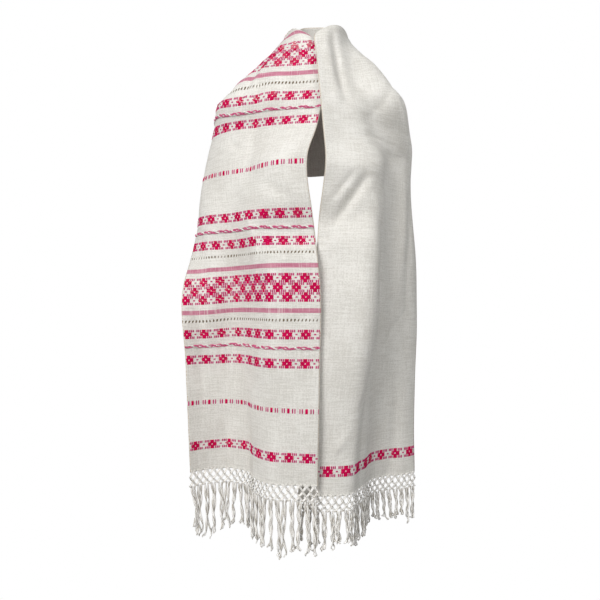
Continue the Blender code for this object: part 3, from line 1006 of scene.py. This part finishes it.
def net_lines(cloth, along, seed):
    """The cords of the net, two yarns side by side, and the places of its knots."""
    chance = Random(seed)
    t = np.linspace(0.0, 1.0, 9)
    lines = []
    knots = []
    depths = (NET_TOP,) + NET_LEVELS
    for level in range(1, len(depths)):
        top, bottom = depths[level - 1], depths[level]
        shift = 0.5 if level % 2 == 1 else 0.0
        for column in range(NET_COLUMNS + 1):
            foot = (column + 0.5 - shift) * NET_PITCH
            if foot > CLOTH_WIDTH + ROUNDING:
                continue
            knots.append((foot, bottom))
            for side in (-1, 1):
                head = foot + side * NET_PITCH / 2
                if not -ROUNDING <= head <= CLOTH_WIDTH + ROUNDING:
                    continue
                for yarn in (-1, 1):
                    belly = yarn * (0.00060 + 0.00055 * np.sin(pi * t))
                    across = head + (foot - head) * t + belly + side * 0.0006 * np.sin(pi * t)
                    outward = side * 0.0009 * np.cos(pi * t) + chance.uniform(-0.0003, 0.0003)
                    down = top + (bottom - top) * t
                    lines.append((hung(cloth, along, across, down, outward), NET_YARN))
    return lines, knots


def knot_lines(cloth, along, knots, seed):
    """A wrapped knot at each meeting of the cords: a yarn wound round it."""
    chance = Random(seed)
    t = np.linspace(0.0, 1.0, 20)
    lines = []
    for foot, depth in knots:
        turns = 2 * pi * KNOT_TURNS * t + chance.uniform(0.0, 2 * pi)
        reach = KNOT_REACH * (0.75 + 0.25 * np.sin(pi * t))
        across = foot + reach * np.cos(turns)
        down = depth + KNOT_HEIGHT * (t - 0.5) + chance.uniform(-0.0004, 0.0004)
        outward = reach * 0.8 * np.sin(turns)
        lines.append((hung(cloth, along, across, down, outward), KNOT_YARN))
    return lines


def strand_lines(cloth, along, table, seed):
    """Loose strands: one from each side of each bottom knot, drawn into bunches."""
    chance = Random(seed)
    places, lengths = zip(*table)
    t = np.linspace(0.0, 1.0, 40)
    lines = []
    bunches = []
    position = 0.003
    while position < CLOTH_WIDTH:
        bunches.append(position)
        position += chance.uniform(*BUNCH_GAPS)
    for column in range(NET_COLUMNS):
        knot = (column + 0.5) * NET_PITCH
        bunch = min(bunches, key=lambda centre: abs(centre - knot))
        for side in (-1, 1):
            pull = chance.uniform(0.35, 0.75)
            home = knot + side * NET_PITCH / 5
            gathered = home + (bunch - home) * pull
            length = np.interp(home, places, lengths) * chance.uniform(0.88, 1.06)
            swing = chance.uniform(0.0, 2 * pi)
            drift = chance.uniform(-0.004, 0.004)
            curl = chance.choice(CURLS)
            for yarn in range(2):
                gather = rising(t, 0.0, 0.55)
                around = swing + pi * (yarn + 3.4 * t * chance.uniform(0.8, 1.2))
                loop = 0.0014 * np.exp(-((t - LOOP_PLACE) / 0.05) ** 2)
                spread = (0.0013 + 0.0007 * t + loop) * (1 - 0.92 * rising(t, 0.95, 0.05))
                across = (home + (gathered - home) * gather + drift * t ** 2
                          + spread * np.cos(around)
                          + 0.0016 * np.sin(swing + 11.0 * t) * t
                          + curl * rising(t, 0.82, 0.18))
                outward = spread * np.sin(around) + 0.0018 * np.sin(swing + 7.0 * t) * t
                own = length * chance.uniform(0.985, 1.0)
                thick = STRAND_YARN * (1 - 0.30 * rising(t, 0.88, 0.12))
                down = NET_LEVELS[-1] + 0.0005 + own * t - abs(curl) * rising(t, 0.90, 0.10)
                lines.append((hung(cloth, along, across, down, outward), thick))
    return lines


def hem_overcast(along):
    """White stitches over the hem from which the net hangs."""
    count = NET_COLUMNS * 2
    place = HEM_STITCH_EDGE if along == 0.0 else CLOTH_LENGTH - HEM_STITCH_EDGE
    return [((column + 0.5) * CLOTH_WIDTH / count, place, *HEM_STITCH)
            for column in range(count)]


def cloth_sheet(cloth, material):
    """The whole cloth as one thin shell that carries its own measure as a UV map."""
    mesh = bpy.data.meshes.new("woven_cloth")
    mesh.from_pydata([tuple(point) for point in cloth.points.reshape(-1, 3)], [],
                     grid_faces(SHEET_ROWS, SHEET_COLUMNS))
    corners = np.zeros(len(mesh.loops), int)
    mesh.loops.foreach_get("vertex_index", corners)
    layer = mesh.uv_layers.new(name="cloth")
    row, column = np.divmod(corners, SHEET_COLUMNS + 1)
    layer.data.foreach_set("uv", np.column_stack([cloth.across[column], cloth.along[row]]).ravel())
    mesh.shade_smooth()
    mesh.materials.append(material)
    sheet = new_object("woven_cloth", mesh)
    wall = sheet.modifiers.new("thickness", "SOLIDIFY")
    wall.thickness = CLOTH_THICKNESS
    wall.offset = 0.0
    return sheet


def build_shawl():
    """Make every piece of the shawl and set it on the frame."""
    cloth = Cloth()
    cotton = woven_cotton()
    crimson = dyed_yarn("crimson_brocade_yarn", CRIMSON, CRIMSON_DEEP)
    rose = dyed_yarn("rose_brocade_yarn", TICK_ROSE, TICK_DEEP)
    white = dyed_yarn("white_openwork_yarn", IVORY, IVORY_SHADE)
    cord = twisted_yarn("white_fringe_cord", CORD_WHITE, CORD_SHADE, 0.034)
    white_cord = twisted_yarn("white_twist_cord", TWIST_WHITE, TWIST_SHADE, 0.006)
    rose_cord = twisted_yarn("rose_twist_cord", TWIST_ROSE, TWIST_GROOVE_SHADE, 0.006)

    sheet = cloth_sheet(cloth, cotton)
    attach(sheet, "root")
    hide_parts("cloth_front_banded", "cloth_shoulders_back", "cloth_front_plain")

    # Floats on both faces
    stitch_maker = stitch_tree()
    yarn_maker = yarn_tree()
    pad = float_pad()
    thin, thick = dash_places()
    floats = (
        ("crimson_floats_", flower_places("F", CRIMSON_GROWTH) + thick, CRIMSON_HEIGHT, crimson),
        ("rose_floats_", tick_places() + flower_places("d", ROSE_GROWTH) + thin, ROSE_HEIGHT,
         rose),
        ("white_stitches_", pillar_places() + hem_overcast(0.0) + hem_overcast(CLOTH_LENGTH),
         WHITE_HEIGHT, white),
    )
    attached = [stitches(name + face, cloth, places, height, side, pad, stitch_maker, yarn)
                for side, face in ((1, "outer"), (-1, "inner"))
                for name, places, height, yarn in floats]
    bpy.data.objects.remove(pad)

    # Twisted rows
    for name, strands, yarn in (("rose_twists", (0, 1), rose_cord),
                                ("white_twists", (2,), white_cord)):
        lines = [line for strand in strands for side in (1, -1)
                 for line in twist_lines(cloth, strand, side)]
        attached.append(grown(name, lines_object(name + "_lines", lines), yarn_maker,
                              {"Sides": YARN_SIDES, "Finish": yarn}))
    for piece in attached:
        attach(piece, "root")

    # Fringes
    for name, along, table, seed in (
            ("fringe_banded_end", 0.0, BANDED_STRANDS, 3),
            ("fringe_plain_end", CLOTH_LENGTH, PLAIN_STRANDS, 8)):
        cords, knots = net_lines(cloth, along, seed)
        cords += knot_lines(cloth, along, knots, seed)
        cords += strand_lines(cloth, along, table, seed)
        fringe = grown("knotted_" + name, lines_object(name + "_lines", cords), yarn_maker,
                       {"Sides": YARN_SIDES, "Finish": cord})
        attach(fringe, "root")
        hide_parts(name)
        attached.append(fringe)


def area_light(row):
    """A soft square light that faces its target."""
    data = bpy.data.lights.new(row.name, "AREA")
    data.size = row.size
    data.energy = row.power
    light = new_object(row.name, data)
    light.location = row.place
    facing = Vector(row.target) - Vector(row.place)
    light.rotation_euler = facing.to_track_quat("-Z", "Y").to_euler()


def seen_white(graph, shader, lit):
    """Pure white to the camera's own rays, and the given shader to all other light."""
    white = graph.node("ShaderNodeEmission" if lit else "ShaderNodeBackground", None,
                       {"Color": (1.0, 1.0, 1.0, 1.0), "Strength": 1.0})
    direct = graph.node("ShaderNodeLightPath")
    return graph.node("ShaderNodeMixShader", None, {0: direct, 1: shader, 2: white})


def studio():
    """A plain white floor and surround, soft lights and the camera."""
    mesh = bpy.data.meshes.new("paper_floor")
    mesh.from_pydata([(x * FLOOR_REACH, y * FLOOR_REACH, FLOOR_HEIGHT)
                      for x, y in ((-1, -1), (1, -1), (1, 1), (-1, 1))], [], [(0, 1, 2, 3)])
    paper = bpy.data.materials.new("white_paper")
    paper.use_nodes = True
    graph = Graph(paper.node_tree)
    matt = paper.node_tree.nodes["Principled BSDF"]
    matt.inputs["Base Color"].default_value = FLOOR_GREY
    matt.inputs["Roughness"].default_value = 1.0
    shown = seen_white(graph, Field(graph, matt.outputs[0]), True)
    graph.feed(paper.node_tree.nodes["Material Output"].inputs["Surface"], shown)
    mesh.materials.append(paper)
    new_object("paper_floor", mesh)

    for row in LIGHTS:
        area_light(row)
    world = bpy.data.worlds.new("studio")
    world.use_nodes = True
    graph = Graph(world.node_tree)
    soft = graph.node("ShaderNodeBackground", None,
                      {"Color": SURROUND, "Strength": SURROUND_STRENGTH})
    shown = seen_white(graph, soft, False)
    graph.feed(world.node_tree.nodes["World Output"].inputs["Surface"], shown)
    bpy.context.scene.world = world
    bpy.context.scene.view_settings.view_transform = "Standard"

    lens = bpy.data.cameras.new("camera")
    lens.lens = LENS
    lens.sensor_width = SENSOR
    camera = new_object("camera", lens)
    camera.location = CAMERA_PLACE
    camera.rotation_euler = (radians(90), 0.0, 0.0)
    bpy.context.scene.camera = camera


build_shawl()
studio()
